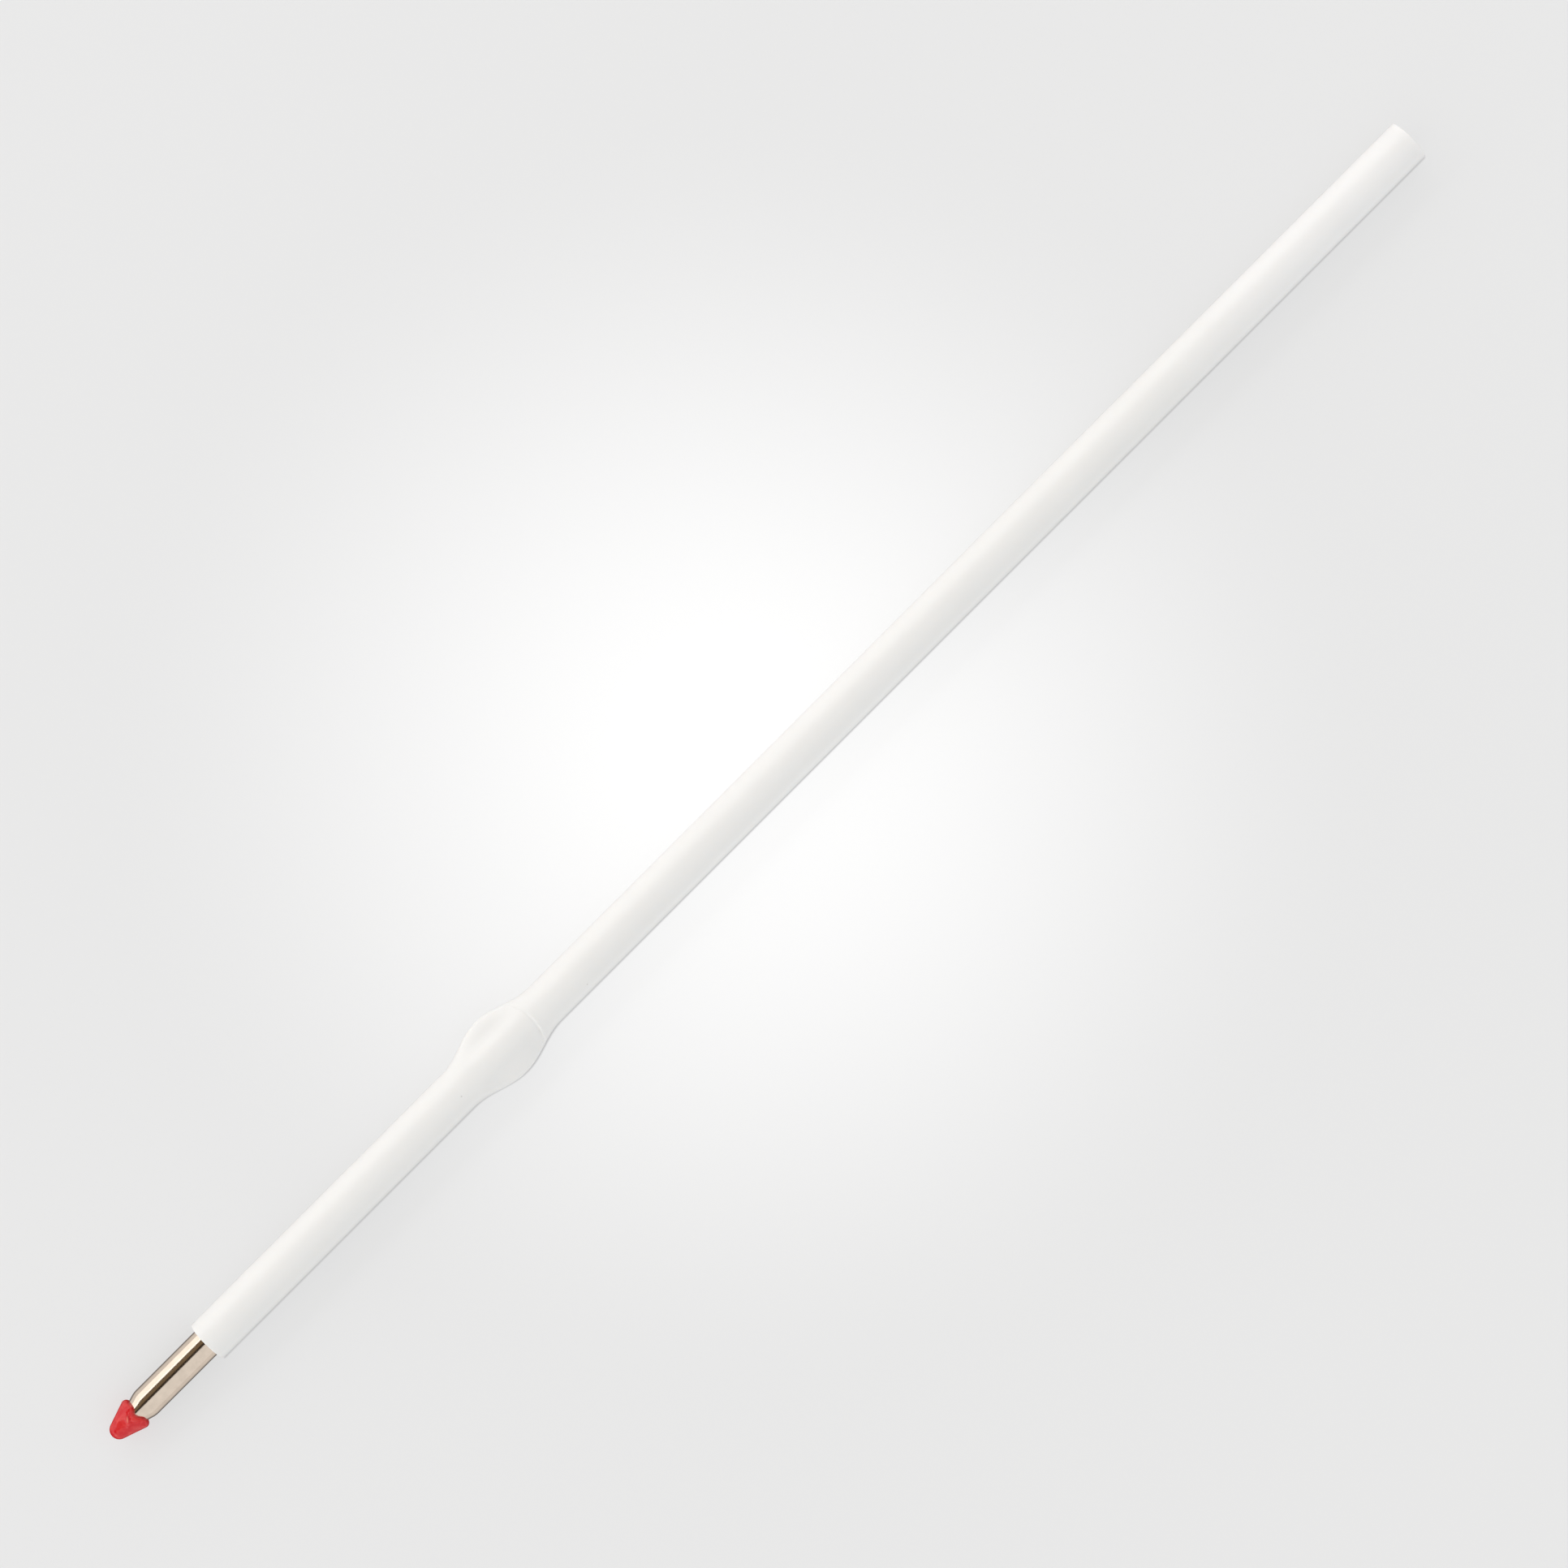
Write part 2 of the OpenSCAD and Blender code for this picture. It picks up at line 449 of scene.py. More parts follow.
def turned_nickel_silver(colours):
    """Bright warm white metal, turned on a lathe: clear reflections, blurred round its rings."""
    material, tree, shader, place = new_material("turned_nickel_silver", {"Metallic": 1.0})
    # Turning marks go round the point. Real ones are about 0.02 mm apart, and these are
    # 0.07 mm apart so that they show.
    along = add_node(
        tree,
        "ShaderNodeMapping",
        values={"Scale": (1 / (0.07 * MM), 1 / (4 * MM), 1 / (4 * MM))},
        links={"Vector": place},
    )
    rings = add_node(
        tree,
        "ShaderNodeTexNoise",
        values={"Scale": 1.0, "Detail": 2.0},
        links={"Vector": along.outputs["Vector"]},
    )
    stains = add_node(
        tree,
        "ShaderNodeTexNoise",
        values={"Scale": 1 / (0.5 * MM), "Detail": 4.0},
        links={"Vector": place},
    )
    tone = add_node(tree, "ShaderNodeValToRGB", links={"Fac": stains.outputs["Fac"]})
    set_ramp(
        tone,
        [
            (0.30, [c * 0.93 for c in colours.metal]),
            (0.55, colours.metal),
            (0.75, [min(1.0, c * 1.04) for c in colours.metal]),
        ],
    )
    tree.links.new(tone.outputs["Color"], shader.inputs["Base Color"])
    marks = rings.outputs["Fac"]
    finish_surface(tree, shader, marks, 0.10, 0.18, marks, 0.25, 0.003 * MM)
    return material


def sintered_carbide(colours):
    """Tungsten carbide, ground round and lapped: a dark grey metal with a fine even tooth."""
    material, tree, shader, place = new_material("sintered_carbide", {"Metallic": 1.0})
    # The tooth that carries the ink is about 0.01 mm, and is drawn at 0.03 mm so that it shows.
    tooth = add_node(
        tree,
        "ShaderNodeTexNoise",
        values={"Scale": 1 / (0.03 * MM), "Detail": 2.0},
        links={"Vector": place},
    )
    tone = add_node(tree, "ShaderNodeValToRGB", links={"Fac": tooth.outputs["Fac"]})
    set_ramp(tone, [(0.35, [c * 0.85 for c in colours.carbide]), (0.7, colours.carbide)])
    tree.links.new(tone.outputs["Color"], shader.inputs["Base Color"])
    grit = tooth.outputs["Fac"]
    finish_surface(tree, shader, grit, 0.12, 0.28, grit, 0.2, 0.001 * MM)
    return material


def oil_paste_ink(colours):
    """Oil paste ink: a deep wet red, glossy, with slow swirls in its pigment."""
    material, tree, shader, place = new_material(
        "oil_paste_ink", {"Roughness": 0.12, "IOR": 1.48}
    )
    swirl = add_node(
        tree,
        "ShaderNodeTexNoise",
        values={"Scale": 1 / (0.8 * MM), "Detail": 3.0, "Distortion": 1.5},
        links={"Vector": place},
    )
    tone = add_node(tree, "ShaderNodeValToRGB", links={"Fac": swirl.outputs["Fac"]})
    set_ramp(tone, [(0.3, [c * 0.7 for c in colours.ink]), (0.7, colours.ink)])
    tree.links.new(tone.outputs["Color"], shader.inputs["Base Color"])
    return material


def clear_grease(colours):
    """Clear amber grease: cloudy, soft and wet, so light goes into it and it shines."""
    material, tree, shader, place = new_material(
        "clear_grease",
        {
            "Roughness": 0.18,
            "IOR": 1.47,
            "Subsurface Weight": 0.5,
            "Subsurface Radius": (1.0, 0.8, 0.4),
            "Subsurface Scale": 0.5 * MM,
        },
    )
    cloud = add_node(
        tree,
        "ShaderNodeTexNoise",
        values={"Scale": 1 / (0.6 * MM), "Detail": 3.0},
        links={"Vector": place},
    )
    tone = add_node(tree, "ShaderNodeValToRGB", links={"Fac": cloud.outputs["Fac"]})
    set_ramp(tone, [(0.3, [c * 0.85 for c in colours.grease]), (0.7, colours.grease)])
    tree.links.new(tone.outputs["Color"], shader.inputs["Base Color"])
    return material


def dipped_sealing_wax(colours):
    """Red hot-melt wax, dipped and set: soft sheen, slightly lumpy, paler where it is thin."""
    material, tree, shader, place = new_material(
        "dipped_sealing_wax",
        {
            "IOR": 1.45,
            "Subsurface Weight": 0.12,
            "Subsurface Radius": (1.0, 0.25, 0.2),
            "Subsurface Scale": 0.08 * MM,
        },
    )
    lumps = add_node(
        tree,
        "ShaderNodeTexNoise",
        values={"Scale": 1 / (0.45 * MM), "Detail": 3.0, "Distortion": 0.4},
        links={"Vector": place},
    )
    tone = add_node(tree, "ShaderNodeValToRGB", links={"Fac": lumps.outputs["Fac"]})
    set_ramp(tone, [(0.42, colours.wax), (0.72, colours.wax_thin)])
    # A painted highlight lies pale along the crest of the wax's fold, a strip about 0.5 mm by 0.1
    # mm.
    crest = add_node(
        tree,
        "ShaderNodeMapping",
        settings={"vector_type": "TEXTURE"},
        values={
            "Location": (CAP_LOW.x + 1.47 * MM, 0.07 * MM, AXIS_Z + 0.85 * MM),
            "Rotation": (0, 0, math.radians(50)),
            "Scale": (0.30 * MM, 0.07 * MM, 0.6 * MM),
        },
        links={"Vector": place},
    )
    off_crest = add_node(
        tree,
        "ShaderNodeVectorMath",
        settings={"operation": "LENGTH"},
        links={0: crest.outputs["Vector"]},
    )
    # Mask of the painted highlight: full along the crest, none away from it.
    highlight_mask = add_node(
        tree,
        "ShaderNodeMapRange",
        settings={"interpolation_type": "SMOOTHSTEP"},
        values={"From Min": 1.0, "From Max": 0.2, "To Max": 0.75},
        links={"Value": off_crest.outputs["Value"]},
    )
    # The wax's own colour, with the painted highlight mixed in along the crest.
    wax = add_node(
        tree,
        "ShaderNodeMix",
        settings={"data_type": "RGBA"},
        values={7: (*colours.crest_highlight, 1)},
        links={"Factor": highlight_mask.outputs["Result"], 6: tone.outputs["Color"]},
    )
    tree.links.new(wax.outputs[2], shader.inputs["Base Color"])
    pores = add_node(
        tree,
        "ShaderNodeTexNoise",
        values={"Scale": 1 / (0.12 * MM), "Detail": 2.0},
        links={"Vector": place},
    )
    height = add_node(
        tree,
        "ShaderNodeMath",
        settings={"operation": "MULTIPLY_ADD"},
        values={1: 0.25},
        links={0: pores.outputs["Fac"], 2: lumps.outputs["Fac"]},
    )
    skin, lift = lumps.outputs["Fac"], height.outputs["Value"]
    finish_surface(tree, shader, skin, 0.16, 0.32, lift, 0.5, 0.03 * MM)
    return material


# The lamp in the table, and the distances from it between which its glow fades.
LAMP_PLACE = (0.46 * MM, 2.3 * MM, 0)
GLOW_FULL, GLOW_GONE = -1 * MM, 38.5 * MM
# The contact shadow. Its edges are how far it reaches out from the tube, clear and dark.
SHADOW_TONE = (0.33, 0.33, 0.33, 1)
SHADOW_SHARE = 0.9  # how much of the tone shows where the shadow is darkest
SHADOW_CLEAR, SHADOW_DARK = 0.12 * MM, 0.03 * MM
SHADOW_END_CLEAR, SHADOW_END_DARK = 0.25 * MM, 0.10 * MM
SHADOW_INNER = -0.4 * MM  # place across the tube up to which the shadow fades in from its axis
# In gloss, the table is in full shade up to the first distance from the axis, and clear of it
# from the second.
SHADE_FULL, SHADE_GONE = 1.4 * MM, 3.6 * MM
SHADE_SHARE = 0.95
SHADE_TONE = (0.05, 0.045, 0.04, 1)


def contact_shadow(tree, split):
    """Depth of the narrow shadow under the -Y side of the tube, which widens at the ear.

    The lamp in the table would otherwise wash the shadow out."""
    sizes = bpy.context.scene.refill_sizes
    middle, half = FRONT + sizes.ear_middle, sizes.ear_length / 2
    turn_x = add_node(
        tree,
        "ShaderNodeMapRange",
        values={
            "From Min": middle - half,
            "From Max": middle + half,
            "To Min": -math.pi,
            "To Max": math.pi,
        },
        links={"Value": split.outputs["X"]},
    )
    swell = add_node(
        tree,
        "ShaderNodeMath",
        settings={"operation": "COSINE"},
        links={0: turn_x.outputs["Result"]},
    )
    ear = add_node(
        tree,
        "ShaderNodeMath",
        settings={"operation": "MULTIPLY_ADD"},
        values={1: sizes.right_reach / 2, 2: sizes.right_reach / 2},
        links={0: swell.outputs["Value"]},
    )
    inside = add_node(
        tree,
        "ShaderNodeMath",
        settings={"operation": "ADD"},
        links={0: split.outputs["Y"], 1: ear.outputs["Value"]},
    )
    # Each edge of the shadow is a range along one axis, over which it fades in from clear.
    edges = (
        (inside.outputs["Value"], -TUBE_R - SHADOW_CLEAR, -TUBE_R - SHADOW_DARK),
        (split.outputs["Y"], 0.0, SHADOW_INNER),
        (split.outputs["X"], TUBE_LOW.x - SHADOW_END_CLEAR, TUBE_LOW.x - SHADOW_END_DARK),
        (split.outputs["X"], TUBE_HIGH.x + SHADOW_END_CLEAR, TUBE_HIGH.x + SHADOW_END_DARK),
    )
    depth = None
    for place, clear, dark in edges:
        edge = add_node(
            tree,
            "ShaderNodeMapRange",
            values={"From Min": clear, "From Max": dark},
            links={"Value": place},
        )
        share = {1: SHADOW_SHARE} if depth is None else {}
        before = {} if depth is None else {1: depth}
        product = add_node(
            tree,
            "ShaderNodeMath",
            settings={"operation": "MULTIPLY"},
            values=share,
            links={0: edge.outputs["Result"], **before},
        )
        depth = product.outputs["Value"]
    return depth


def light_table(colours):
    """Matt opal acrylic over a lamp: white over the lamp, and pale grey away from it."""
    material, tree, shader, place = new_material(
        "light_table",
        {
            "Base Color": (*colours.floor, 1),
            "Roughness": 0.9,
            "Specular IOR Level": 0.0,
            "Emission Strength": 1.0,
        },
    )
    distance = add_node(
        tree,
        "ShaderNodeVectorMath",
        settings={"operation": "DISTANCE"},
        values={1: LAMP_PLACE},
        links={0: place},
    )
    spread = add_node(
        tree,
        "ShaderNodeMapRange",
        settings={"interpolation_type": "SMOOTHSTEP"},
        values={"From Min": GLOW_FULL, "From Max": GLOW_GONE},
        links={"Value": distance.outputs["Value"]},
    )
    glow = add_node(
        tree,
        "ShaderNodeMix",
        settings={"data_type": "RGBA"},
        values={6: (*colours.glow_middle, 1), 7: (*colours.glow_edge, 1)},
        links={"Factor": spread.outputs["Result"]},
    )
    split = add_node(tree, "ShaderNodeSeparateXYZ", links={"Vector": place})
    lit = add_node(
        tree,
        "ShaderNodeMix",
        settings={"data_type": "RGBA"},
        values={7: SHADOW_TONE},
        links={"Factor": contact_shadow(tree, split), 6: glow.outputs[2]},
    )
    tree.links.new(lit.outputs[2], shader.inputs["Emission Color"])
    # Gloss sees the table beside the refill in its shade, which draws the edges of the metal
    # and of the tube. The lamp would otherwise wash them out.
    aside = add_node(
        tree,
        "ShaderNodeMath",
        settings={"operation": "ABSOLUTE"},
        links={0: split.outputs["Y"]},
    )
    shade = add_node(
        tree,
        "ShaderNodeMapRange",
        values={
            "From Min": SHADE_FULL,
            "From Max": SHADE_GONE,
            "To Min": SHADE_SHARE,
            "To Max": 0.0,
        },
        links={"Value": aside.outputs["Value"]},
    )
    ray = add_node(tree, "ShaderNodeLightPath")
    amount = add_node(
        tree,
        "ShaderNodeMath",
        settings={"operation": "MULTIPLY"},
        links={0: ray.outputs["Is Glossy Ray"], 1: shade.outputs["Result"]},
    )
    shaded = add_node(tree, "ShaderNodeBsdfDiffuse", values={"Color": SHADE_TONE})
    both = add_node(
        tree,
        "ShaderNodeMixShader",
        links={0: amount.outputs["Value"], 1: shader.outputs["BSDF"], 2: shaded.outputs["BSDF"]},
    )
    tree.links.new(both.outputs["Shader"], tree.nodes["Material Output"].inputs["Surface"])
    return material


# ---------------------------------------------------------------- the tube and its ears

TUBE_SIDES = 192
EAR_RINGS = 200
TUBE_RINGS = 40
CORE_SHARE = 0.62  # share of the round core's radius where the flank of an ear begins
EAR_RIM = 0.16 * MM  # width of the rounding at an ear's rim
RIM_POWER = 2.4  # roundness of the rim: 2 is a circle, and more is squarer
RIM_SLOPE = 0.75  # how steeply an ear slopes down just inside its rim
PUNCH_EDGE = 0.09 * MM  # width of the step at the edge of the punch's mark
BEAD_SHARE = 0.35  # height of the bead of plastic pushed up round the mark, to its depth


def smooth_step(value):
    """0 below 0, 1 above 1, and a smooth rise between them."""
    value = min(1.0, max(0.0, value))
    return value * value * (3 - 2 * value)


def ear_swell(along, length):
    """1 in the middle of an ear, falling smoothly to 0 at both its ends."""
    if abs(along) >= length / 2:
        return 0.0
    return (1 + math.cos(2 * math.pi * along / length)) / 2


def punch_mark(along, across, sizes):
    """Depth of the mark of the round punch. It leant towards the tail, and left a step there.

    A bead of plastic lies just outside the step. The step fades out towards the point, and is
    shallowest a little to the +Y side of the top."""
    inward = sizes.punch_radius - math.hypot(along, across)
    inside = smooth_step(inward / PUNCH_EDGE)
    bead = math.exp(-((inward + 0.6 * PUNCH_EDGE) ** 2) / (0.7 * PUNCH_EDGE) ** 2)
    lean = smooth_step((along - 0.1 * sizes.punch_radius) / (0.9 * sizes.punch_radius))
    flank = 0.55 + 0.45 * min(1.0, ((across - 0.3 * TUBE_R) / TUBE_R) ** 2)
    return sizes.punch_depth * (inside - BEAD_SHARE * bead) * lean * flank


def ear_height(across, half_width, core_r, rim_height):
    """Half thickness of a fully pressed ear, at a distance across the tube from its axis.

    The round core runs out in a long soft flank to the ear's rim, which is rounded off."""
    flank_start = CORE_SHARE * core_r
    start_height = math.sqrt(core_r**2 - flank_start**2)
    if across < flank_start:
        return math.sqrt(core_r**2 - across**2)
    span = half_width - flank_start
    t = (across - flank_start) / span
    height = start_height * (2 * t**3 - 3 * t**2 + 1) + rim_height * (3 * t**2 - 2 * t**3)
    height -= flank_start / start_height * span * (t**3 - 2 * t**2 + t)
    height -= RIM_SLOPE * span * (t**3 - t**2)
    past_rim = min(1.0, max(0.0, (across - half_width + EAR_RIM) / EAR_RIM))
    return height * (1 - past_rim**RIM_POWER) ** (1 / RIM_POWER)


def pressed_place(place, sizes):
    """Where a point on the round skin of the tube goes when the ears are pressed out."""
    along = place.x - FRONT - sizes.ear_middle
    swell = ear_swell(along, sizes.ear_length)
    angle = math.atan2(place.z - AXIS_Z, place.y)
    reach = sizes.left_reach if place.y > 0 else sizes.right_reach
    rim = sizes.left_rim if place.y > 0 else sizes.right_rim
    half_width = TUBE_R + reach * swell
    across = half_width * math.cos(angle)
    core_r = TUBE_R - sizes.ear_dip * swell
    swollen = core_r * abs(math.sin(angle))
    pressed = ear_height(abs(across), half_width, core_r, rim / 2)
    formed = smooth_step(1.5 * swell)
    height = swollen + formed * (pressed - swollen)
    height -= punch_mark(along, across, sizes) * min(1.0, 4 * height / rim)
    return Vector((place.x, across, AXIS_Z + math.copysign(height, math.sin(angle))))


def subdivide_band(piece, start, end, cuts):
    """Cuts the skin of the tube between two distances along it into rings."""
    select_points(
        piece,
        lambda co: from_axis(co) > 0.95 * TUBE_R and start - WELD < co.x < end + WELD,
    )
    bpy.ops.object.mode_set(mode="OBJECT")
    mesh = piece.data
    chosen = [
        abs(mesh.vertices[a].co.x - mesh.vertices[b].co.x) > 0.5 * (end - start)
        and mesh.vertices[a].select
        and mesh.vertices[b].select
        for a, b in (edge.vertices for edge in mesh.edges)
    ]
    bpy.ops.object.mode_set(mode="EDIT")
    bpy.ops.mesh.select_mode(type="EDGE")
    bpy.ops.mesh.select_all(action="DESELECT")
    bpy.ops.object.mode_set(mode="OBJECT")
    for edge, wanted in zip(mesh.edges, chosen):
        edge.select = wanted
    bpy.ops.object.mode_set(mode="EDIT")
    bpy.ops.mesh.subdivide(number_cuts=cuts)
    bpy.ops.object.mode_set(mode="OBJECT")


class REFILL_OT_tube(bpy.types.Operator):
    """Turn the ink tube, cut its ends and press out its two ears"""

    bl_idname = "refill.tube"
    bl_label = "Reservoir Tube"

    def execute(self, context):
        sizes = context.scene.refill_sizes
        mouth, tail = TUBE_LOW.x, TUBE_HIGH.x
        bend, bore = sizes.edge_round, sizes.bore_radius
        ear_x = FRONT + sizes.ear_middle
        ear_start = ear_x - sizes.ear_length / 2
        ear_end = ear_x + sizes.ear_length / 2
        outline = [
            (mouth, bore + bend),
            *arc((mouth + bend, TUBE_R - bend), bend, -90, 0, 4),
            (ear_start, TUBE_R),
            (ear_end, TUBE_R),
            *arc((tail - bend, TUBE_R - bend), bend, 0, 90, 4),
            *arc((tail - bend, bore + bend), -bend, -90, 0, 3),
            *arc((mouth + bend, bore + bend), -bend, 0, 90, 3),
        ]
        tube = turn("reservoir_tube_skin", outline, TUBE_SIDES)
        subdivide_band(tube, mouth + bend, ear_start, TUBE_RINGS // 3)
        subdivide_band(tube, ear_start, ear_end, EAR_RINGS)
        subdivide_band(tube, ear_end, tail - bend, TUBE_RINGS)
        for vertex in tube.data.vertices:
            if from_axis(vertex.co) > 0.95 * TUBE_R and ear_start < vertex.co.x < ear_end:
                vertex.co = pressed_place(vertex.co, sizes)
        tidy_mesh(tube, 50)
        material = extruded_polypropylene(context.scene.refill_colours)
        place_in_frame(tube, material, "refill", "tube_plastic", "reservoir_tube")
        return {"FINISHED"}


# ---------------------------------------------------------------- the metal point

POINT_SIDES = 128


class REFILL_OT_point(bpy.types.Operator):
    """Turn the metal point: its rolled lip, cone, straight part, shank and ink feed"""

    bl_idname = "refill.point"
    bl_label = "Point Housing"

    def execute(self, context):
        sizes = context.scene.refill_sizes
        angle = math.degrees(sizes.cone_angle)
        shank_r = sizes.bore_radius
        shoulder_r = 1.5 * MM
        shoulder_x = FRONT + sizes.cone_length + shoulder_r * math.tan(sizes.cone_angle / 2)
        lip_x, lip_r = POINT_LOW.x, BALL_R - 0.005 * MM
        crimp_x = FRONT + 0.46 * MM
        crimp_r = POINT_R - (FRONT + sizes.cone_length - crimp_x) * math.tan(sizes.cone_angle)
        ball_x, seat_r = FRONT + BALL_R, BALL_R + 0.01 * MM
        hole_r, feed_r = 0.2 * MM, 0.5 * MM
        feed_x, end_x = FRONT + 1.9 * MM, POINT_HIGH.x
        mouth = TUBE_LOW.x
        corner = 0.03 * MM
        lip_angle = math.degrees(math.acos((lip_x - ball_x) / seat_r))
        hole_angle = math.degrees(math.asin(hole_r / seat_r))
        outline = [
            (lip_x, lip_r - corner / 2),
            (lip_x + corner / 2, lip_r),
            (crimp_x - corner, crimp_r),
            (crimp_x, crimp_r - corner / 3),
            (crimp_x + corner, crimp_r + corner * math.tan(sizes.cone_angle)),
            *arc((shoulder_x, POINT_R - shoulder_r), shoulder_r, -angle, 0, 12),
            *arc((mouth - corner, POINT_R - corner), corner, 0, 90, 3),
            (mouth, shank_r),
            (end_x - 0.15 * MM, shank_r),
            (end_x, shank_r - 0.15 * MM),
            (end_x, feed_r + corner),
            (end_x - corner, feed_r),
            (feed_x, feed_r),
            (feed_x - (feed_r - hole_r) * 0.6, hole_r),
            *arc((ball_x, 0), seat_r, 90 - hole_angle, 90 - lip_angle, 16),
            (lip_x, lip_r - corner / 2),
        ]
        point = turn("point_housing_turned", outline, POINT_SIDES)
        tidy_mesh(point, 32)
        material = turned_nickel_silver(context.scene.refill_colours)
        place_in_frame(point, material, "refill", "nickel_silver", "point_housing")
        return {"FINISHED"}


# ---------------------------------------------------------------- the ball, ink and grease


class REFILL_OT_ball(bpy.types.Operator):
    """Round a cube into the writing ball, with the same fine faces all over"""

    bl_idname = "refill.ball"
    bl_label = "Writing Ball"

    def execute(self, context):
        deselect()
        bpy.ops.mesh.primitive_cube_add(size=BALL_R, location=(FRONT + BALL_R, 0, AXIS_Z))
        ball = context.object
        ball.name = "writing_ball_lapped"
        bpy.ops.object.mode_set(mode="EDIT")
        bpy.ops.mesh.select_all(action="SELECT")
        bpy.ops.mesh.subdivide(number_cuts=31)
        bpy.ops.transform.tosphere(value=1)
        bpy.ops.object.mode_set(mode="OBJECT")
        bpy.ops.object.transform_apply(location=True, rotation=True, scale=True)
        centre = Vector((FRONT + BALL_R, 0, AXIS_Z))
        ratio = BALL_R / (ball.data.vertices[0].co - centre).length
        bpy.ops.object.mode_set(mode="EDIT")
        bpy.ops.mesh.select_all(action="SELECT")
        bpy.ops.transform.resize(value=(ratio, ratio, ratio), center_override=centre)
        bpy.ops.object.mode_set(mode="OBJECT")
        tidy_mesh(ball, 60)
        material = sintered_carbide(context.scene.refill_colours)
        place_in_frame(ball, material, "ball", "ball_carbide", "writing_ball")
        return {"FINISHED"}


class REFILL_OT_ink(bpy.types.Operator):
    """Fill the point and the tube with ink"""

    bl_idname = "refill.ink"
    bl_label = "Ink"

    def execute(self, context):
        colours = context.scene.refill_colours
        shank_end = POINT_HIGH.x + 0.01 * MM
        feed_r, hole_r = 0.49 * MM, 0.19 * MM
        feed_x = FRONT + 1.91 * MM
        feed = turn(
            "ink_in_point",
            [
                (INK_LOW.x, POLE_R),
                (INK_LOW.x, hole_r),
                (feed_x, hole_r),
                (feed_x, feed_r),
                (shank_end, feed_r),
                (shank_end, POLE_R),
            ],
            48,
        )
        close_poles(feed, INK_LOW.x, shank_end)
        tidy_mesh(feed, 40)
        column = turn(
            "ink_in_tube",
            [
                (shank_end, POLE_R),
                (shank_end, INK_R - 0.05 * MM),
                *arc((shank_end + 0.05 * MM, INK_R - 0.05 * MM), 0.05 * MM, -90, 0, 3)[1:],
                *arc((INK_HIGH.x - 0.05 * MM, INK_R - 0.05 * MM), 0.05 * MM, 0, 90, 3),
                (INK_HIGH.x, POLE_R),
            ],
            64,
        )
        close_poles(column, shank_end, INK_HIGH.x)
        tidy_mesh(column, 40)
        material = oil_paste_ink(colours)
        place_in_frame(feed, material, "refill", "ink", "ink_column")
        place_in_frame(column, material, "refill", "ink", "ink_column")
        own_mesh(column)
        return {"FINISHED"}


class REFILL_OT_follower(bpy.types.Operator):
    """Turn the plug of grease that follows the ink, with a hollow in its back"""

    bl_idname = "refill.follower"
    bl_label = "Grease Follower"

    def execute(self, context):
        front, back = GREASE_LOW.x, GREASE_HIGH.x
        hollow = 0.3 * MM
        bend = 0.06 * MM
        bowl_r = (GREASE_R**2 + hollow**2) / (2 * hollow)
        bowl_angle = math.degrees(math.asin((GREASE_R - bend) / bowl_r))
        bowl = arc((back - hollow + bowl_r, 0), bowl_r, bowl_angle - 90, -90, 10)
        follower = turn(
            "grease_follower_plug",
            [
                (front, POLE_R),
                (front, GREASE_R - bend),
                *arc((front + bend, GREASE_R - bend), bend, -90, 0, 3)[1:],
                *arc((back - bend, GREASE_R - bend), bend, 0, 70, 4),
                *[(x, max(POLE_R, r)) for x, r in bowl],
            ],
            96,
        )
        close_poles(follower, front, back - hollow)
        tidy_mesh(follower, 50)
        material = clear_grease(context.scene.refill_colours)
        place_in_frame(follower, material, "follower", "grease", "grease_follower")
        return {"FINISHED"}


# ---------------------------------------------------------------- the protective cap

CAP_SIDES = 128
SKIN_R = 0.9 * MM  # roughly how far the cap's skin is from the axis
RING_HALF = 0.06 * MM  # half the length of skin in which the vertex to pull is sought


def nudge(piece, along, turn_angle, push, reach):
    """Pulls the skin of the cap at one place, as a thumb does soft wax.

    The place is a distance from the cap's front and an angle from the top towards +Y. The push
    is along the cap and out of its side, and it fades to nothing at the reach."""
    angle = math.radians(turn_angle)
    out = Vector((0, math.sin(angle), math.cos(angle)))
    start = Vector((CAP_LOW.x + along, 0, AXIS_Z)) + out * SKIN_R
    ring = [
        vertex
        for vertex in piece.data.vertices
        if abs(vertex.co.x - start.x) < RING_HALF and vertex.normal.dot(out) > -0.2
    ]
    spot = min(ring, key=lambda v: (v.co - start).length).co.copy()
    select_points(piece, lambda co: (co - spot).length < WELD)
    bpy.ops.transform.translate(
        value=Vector((push[0], 0, 0)) + out * push[1],
        use_proportional_edit=True,
        proportional_edit_falloff="SMOOTH",
        proportional_size=reach,
    )
    bpy.ops.object.mode_set(mode="OBJECT")


